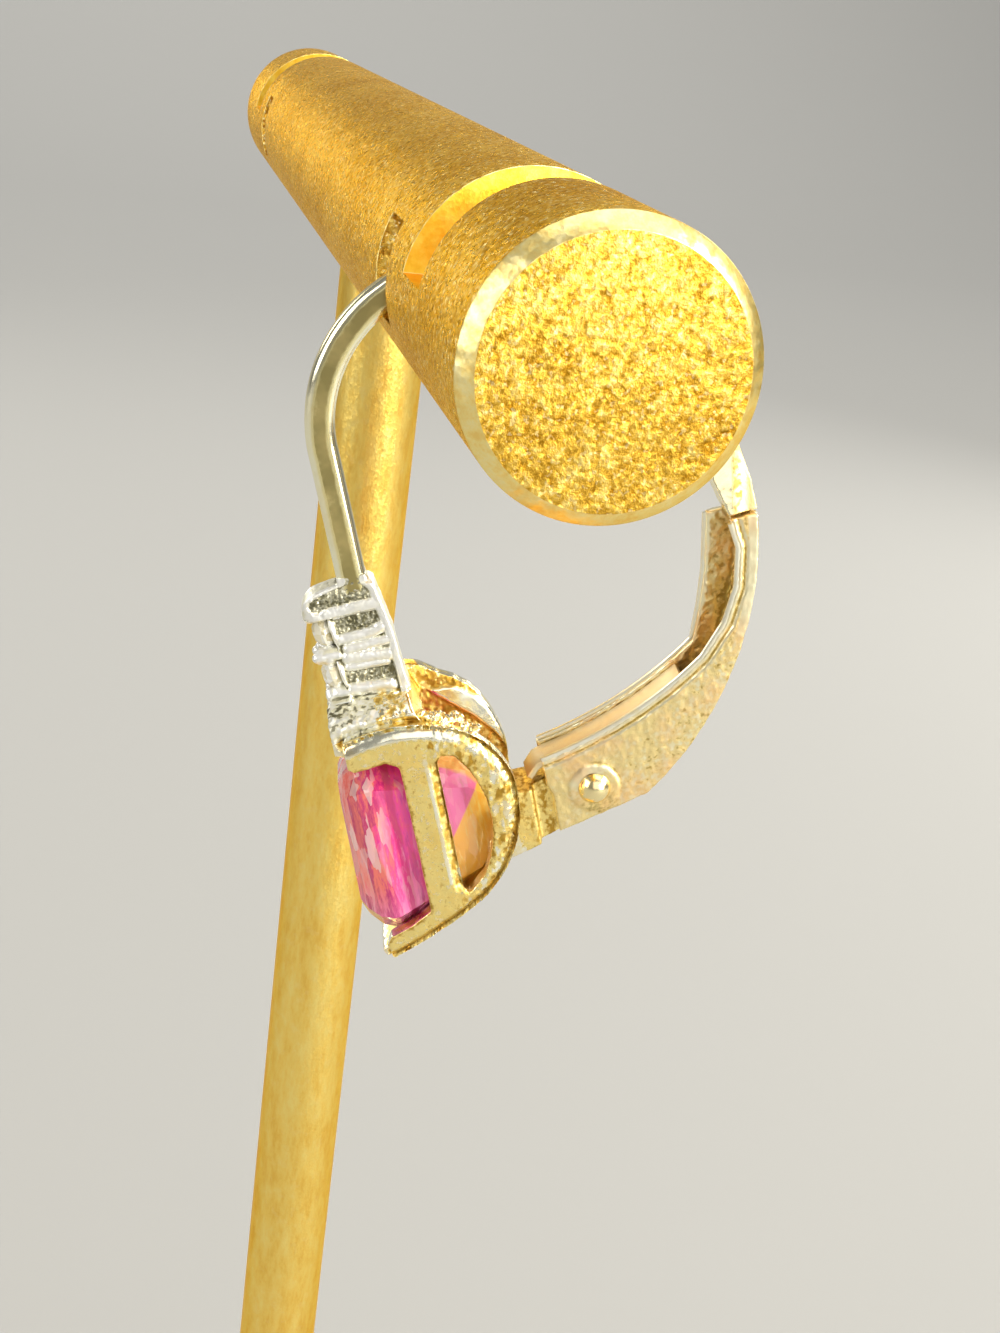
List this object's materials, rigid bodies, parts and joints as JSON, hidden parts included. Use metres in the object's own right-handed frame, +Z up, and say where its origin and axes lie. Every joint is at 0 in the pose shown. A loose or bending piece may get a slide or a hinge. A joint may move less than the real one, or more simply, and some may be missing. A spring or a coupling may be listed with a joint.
{
  "type": "leverback earring on a small display stand",
  "caption": "Gold leverback earring with a long pink step-cut stone and small clear stones, hung by its ear wire on a slotted gold bar stand; its lever opens.",
  "frame": {"origin": "centre of the round base's underside, straight below the middle of the bar", "axes": "+Z up; Y along the bar, with the earring near its -Y end; -X towards the side where the stones hang, +X towards the lever"},
  "size_m": [0.052, 0.0616, 0.1032],
  "materials": {
    "grainy_gold": "sandblasted, fine grain, warm gold",
    "polished_gold": "cast pale yellow gold, hand polished, rough in its hollows",
    "pink_stone": "cut and polished transparent stone",
    "clear_stone": "cut and polished clear stone",
    "cast_gold": "cast gold with polished rims and a rough channel",
    "spring_strip": "matte rolled strip",
    "bright_rivet": "bright polished dome"
  },
  "bodies": {
    "root": {"stand_base": "grainy_gold", "stand_post": "grainy_gold", "stand_bar": "grainy_gold", "hook_and_settings": "polished_gold", "main_stone": "pink_stone", "accent_stone_upper": "clear_stone", "accent_stone_lower": "clear_stone"},
    "lever_body": {"lever": "cast_gold", "lever_spring": "spring_strip", "hinge_rivet": "bright_rivet"}
  },
  "joints": [
    {"name": "lever_hinge", "type": "hinge", "parent": "root", "child": "lever_body", "pos_m": [0.00422, -0.02021, 0.0863], "axis": [0.108, 0.9942, 0], "range_deg": [0, 55]}
  ]
}
